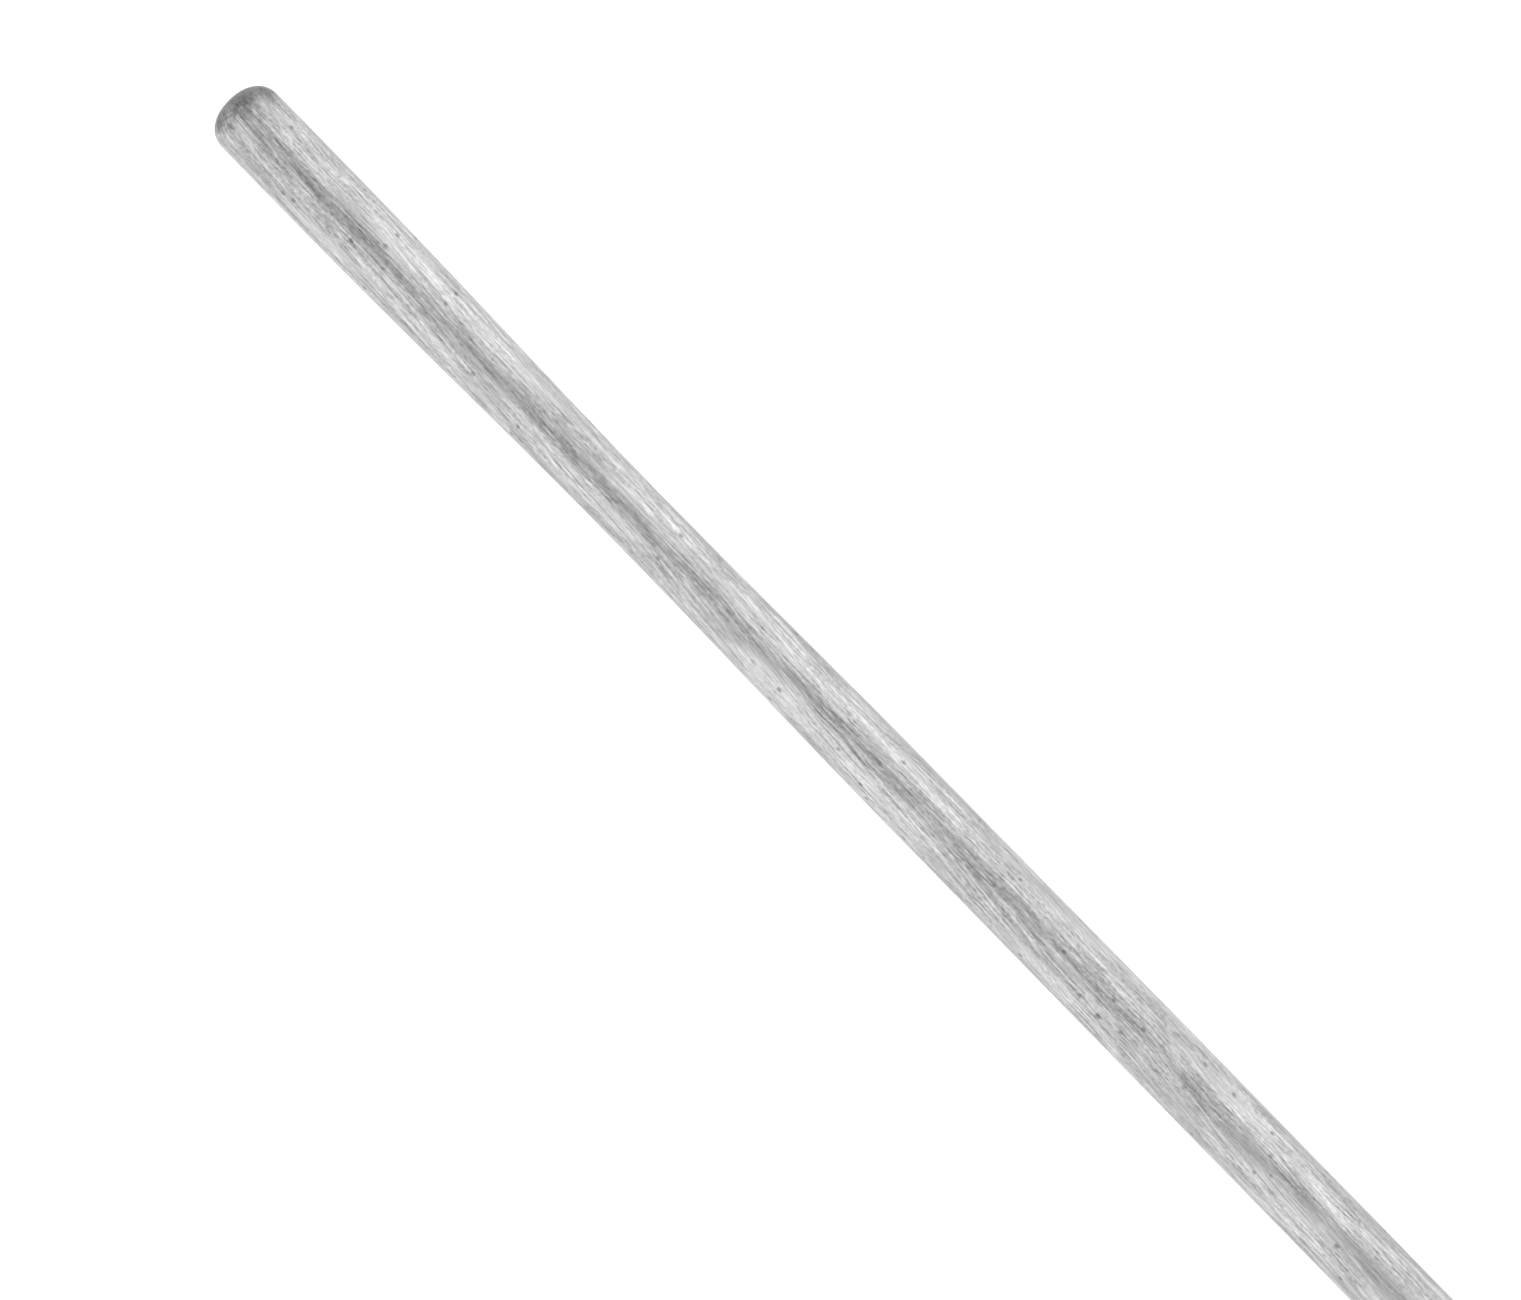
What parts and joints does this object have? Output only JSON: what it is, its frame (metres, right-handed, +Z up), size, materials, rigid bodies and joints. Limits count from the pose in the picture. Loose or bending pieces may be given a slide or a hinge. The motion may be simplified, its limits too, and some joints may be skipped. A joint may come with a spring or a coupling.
{
  "type": "white cane",
  "caption": "Slim telescoping white cane, fully extended: bare metal lower tube with a closed rounded nose, white upper tubes, twist locks and a black grip with a flat.",
  "frame": {"origin": "under the middle of the extended cane, on the surface that it lies on", "axes": "+X along the cane towards the nose, the strap lug towards -X; +Z up; the grip's flat faces -Z"},
  "size_m": [1.0382, 0.0266, 0.0248],
  "materials": {
    "bare_aluminium": "satin, scored along its length",
    "white_enamel": "satin, white powder coat on aluminium",
    "reflective_white": "fine cells under a clear film",
    "black_rubber": "matte, textured",
    "black_plastic": "moulded satin",
    "natural_nylon": "translucent off-white",
    "steel": "ground"
  },
  "bodies": {
    "handle": {"top_tube": "white_enamel", "grip": "black_rubber", "grip_ring": "black_plastic", "end_cap": "black_plastic", "cap_pin": "steel", "buffer_pad": "black_rubber", "reflective_sleeve": "reflective_white", "ferrule_1": "black_plastic"},
    "collet_1": {"collet_1": "natural_nylon"},
    "collar_1": {"collar_1": "black_plastic"},
    "middle": {"middle_tube": "white_enamel", "middle_plug": "natural_nylon", "middle_shim_a": "natural_nylon", "middle_shim_b": "natural_nylon", "ferrule_2": "black_plastic"},
    "collet_2": {"collet_2": "natural_nylon"},
    "collar_2": {"collar_2": "black_plastic"},
    "lower": {"lower_tube": "bare_aluminium", "lower_plug": "natural_nylon", "lower_shim_a": "natural_nylon", "lower_shim_b": "natural_nylon"}
  },
  "joints": [
    {"name": "middle_slide", "type": "slide", "parent": "handle", "child": "middle", "axis": [1, 0, 0], "range_m": [-0.288, 0]},
    {"name": "lower_slide", "type": "slide", "parent": "middle", "child": "lower", "axis": [1, 0, 0], "range_m": [-0.288, 0]},
    {"name": "collet_1_shift", "type": "slide", "parent": "handle", "child": "collet_1", "axis": [1, 0, 0], "range_m": [0, 0.0008]},
    {"name": "collar_1_turn", "type": "hinge", "parent": "collet_1", "child": "collar_1", "pos_m": [-0.13087, 0, 0.0115], "axis": [1, 0, 0], "range_deg": [0, 180]},
    {"name": "collet_2_shift", "type": "slide", "parent": "middle", "child": "collet_2", "axis": [1, 0, 0], "range_m": [0, 0.0008]},
    {"name": "collar_2_turn", "type": "hinge", "parent": "collet_2", "child": "collar_2", "pos_m": [0.19412, 0, 0.0115], "axis": [1, 0, 0], "range_deg": [0, 180]}
  ],
  "couplings": [
    {"joint": "collet_1_shift", "follows": "collar_1_turn", "m_per_rad": 0.00023873},
    {"joint": "collet_2_shift", "follows": "collar_2_turn", "m_per_rad": 0.00023873}
  ]
}
